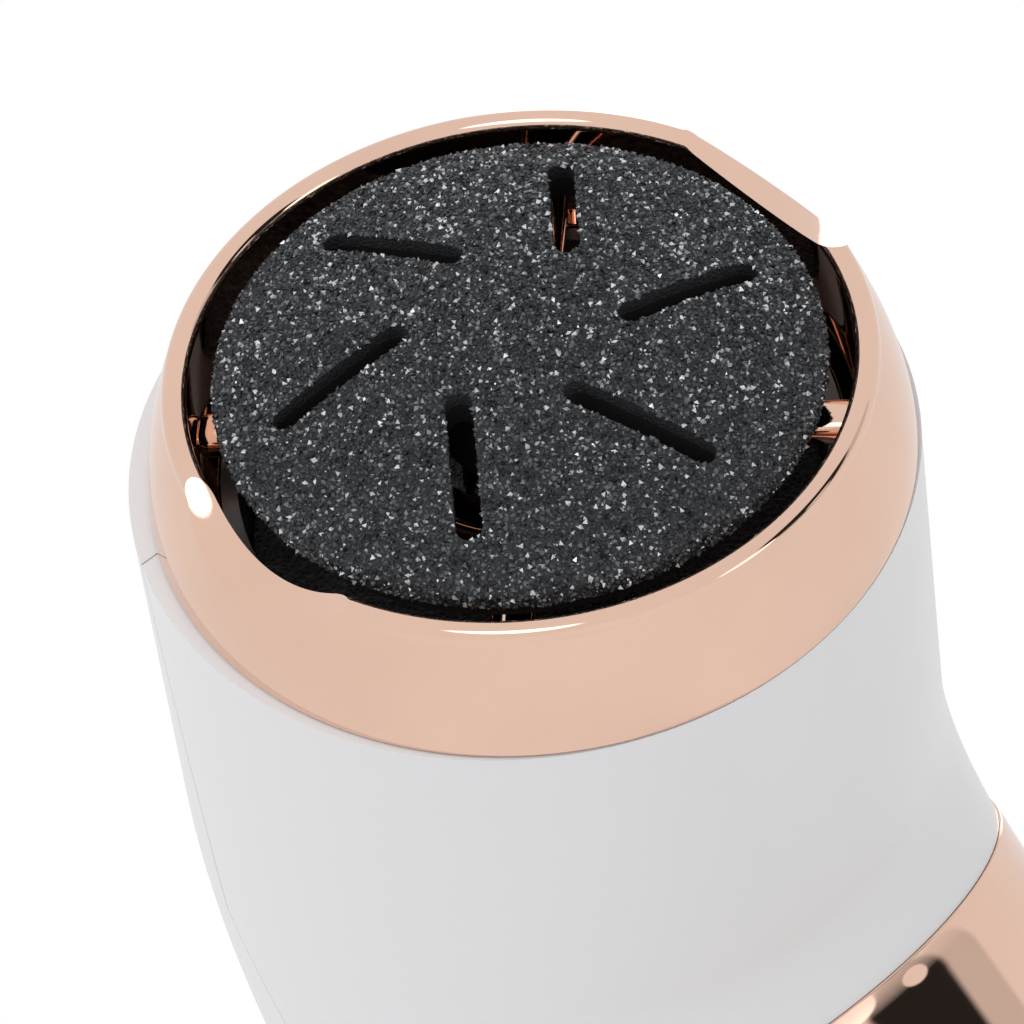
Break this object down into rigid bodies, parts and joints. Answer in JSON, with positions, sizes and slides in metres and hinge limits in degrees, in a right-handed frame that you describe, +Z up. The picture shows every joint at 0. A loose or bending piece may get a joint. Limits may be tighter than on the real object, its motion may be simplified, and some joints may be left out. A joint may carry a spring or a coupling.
{
  "type": "electric callus remover",
  "caption": "Handheld rechargeable foot file with a spinning abrasive disc in a metallic ring, a bent white body, a suction fan and a push button.",
  "frame": {"origin": "centre of the flat underside of the rubber foot", "axes": "+Z up along the handle, the abrasive disc faces -Y and upwards, X = 0 is the symmetry plane of the body"},
  "size_m": [0.0582, 0.0923, 0.1737],
  "materials": {
    "abrasive": "coarse crystalline grit with bright facets",
    "white_plastic": "glossy moulded",
    "rose_gold_plating": "mirror-bright metallised plating on plastic",
    "black_plastic": "fine moulded texture",
    "smoke_plastic": "dark glossy moulded",
    "gear_plastic": "self-lubricating moulded",
    "bright_steel": "turned and ground",
    "bronze": "sintered",
    "copper_winding": "enamelled wire on a laminated core",
    "ferrite": "matt sintered",
    "filter_foam": "open-cell foam",
    "black_rubber": "matt",
    "board_green": "solder mask",
    "cell_wrap": "shrink sleeve over a steel can",
    "frosted_lens": "frosted light pipe",
    "led_package": "resin package"
  },
  "bodies": {
    "housing": {"bearing_outer_race": "bright_steel", "rear_bush": "bronze", "bezel_ring": "rose_gold_plating", "bezel_seal": "black_rubber", "dust_cup": "smoke_plastic", "filter_sponge": "filter_foam", "gearbox_housing": "gear_plastic", "gearbox_plate": "bright_steel", "gearbox_screws": "bright_steel", "motor_screws": "bright_steel", "motor_can": "bright_steel", "motor_magnets": "ferrite", "motor_brushes": "ferrite", "motor_end_cap": "black_plastic", "fan_shroud": "black_plastic", "head_shell_front": "white_plastic", "head_shell_back": "white_plastic", "waist_belt": "rose_gold_plating", "handle_front_shell": "white_plastic", "handle_rear_shell": "white_plastic", "shell_screws": "bright_steel", "button_bezel": "rose_gold_plating", "switch_body": "black_plastic", "indicator_lens": "frosted_lens", "indicator_leds": "led_package", "circuit_board": "board_green", "charging_socket": "bright_steel", "battery_cell": "cell_wrap", "battery_holder": "black_plastic", "base_cap": "rose_gold_plating", "base_foot": "black_rubber"},
    "spindle": {"drive_hub": "bright_steel", "spindle": "bright_steel", "spindle_gear": "gear_plastic", "bearing_inner_race": "bright_steel"},
    "ball_cage": {"bearing_balls": "bright_steel"},
    "disc": {"abrasive_disc": "abrasive", "disc_carrier": "black_plastic", "carrier_magnet": "bright_steel"},
    "rotor": {"motor_armature": "copper_winding", "motor_shaft": "bright_steel", "motor_pinion": "bronze", "fan_impeller": "gear_plastic"},
    "button": {"power_button": "white_plastic", "switch_plunger": "bright_steel"}
  },
  "joints": [
    {"name": "disc_spin", "type": "hinge", "parent": "housing", "child": "spindle", "pos_m": [0, -0.03943, 0.14729], "axis": [0, -0.788, 0.6157], "continuous": true},
    {"name": "ball_cage_spin", "type": "hinge", "parent": "housing", "child": "ball_cage", "pos_m": [0, -0.03943, 0.14729], "axis": [0, -0.788, 0.6157], "continuous": true},
    {"name": "disc_pull_off", "type": "slide", "parent": "spindle", "child": "disc", "axis": [0, -0.788, 0.6157], "range_m": [0, 0.012]},
    {"name": "motor_spin", "type": "hinge", "parent": "housing", "child": "rotor", "pos_m": [0, -0.04685, 0.13779], "axis": [0, -0.788, 0.6157], "continuous": true},
    {"name": "button_press", "type": "slide", "parent": "housing", "child": "button", "axis": [0, 1, 0], "range_m": [0, 0.0006], "stiffness_N_per_m": 1500}
  ],
  "couplings": [
    {"joint": "motor_spin", "follows": "disc_spin", "ratio": -2.3333},
    {"joint": "ball_cage_spin", "follows": "disc_spin", "ratio": 0.3882}
  ]
}
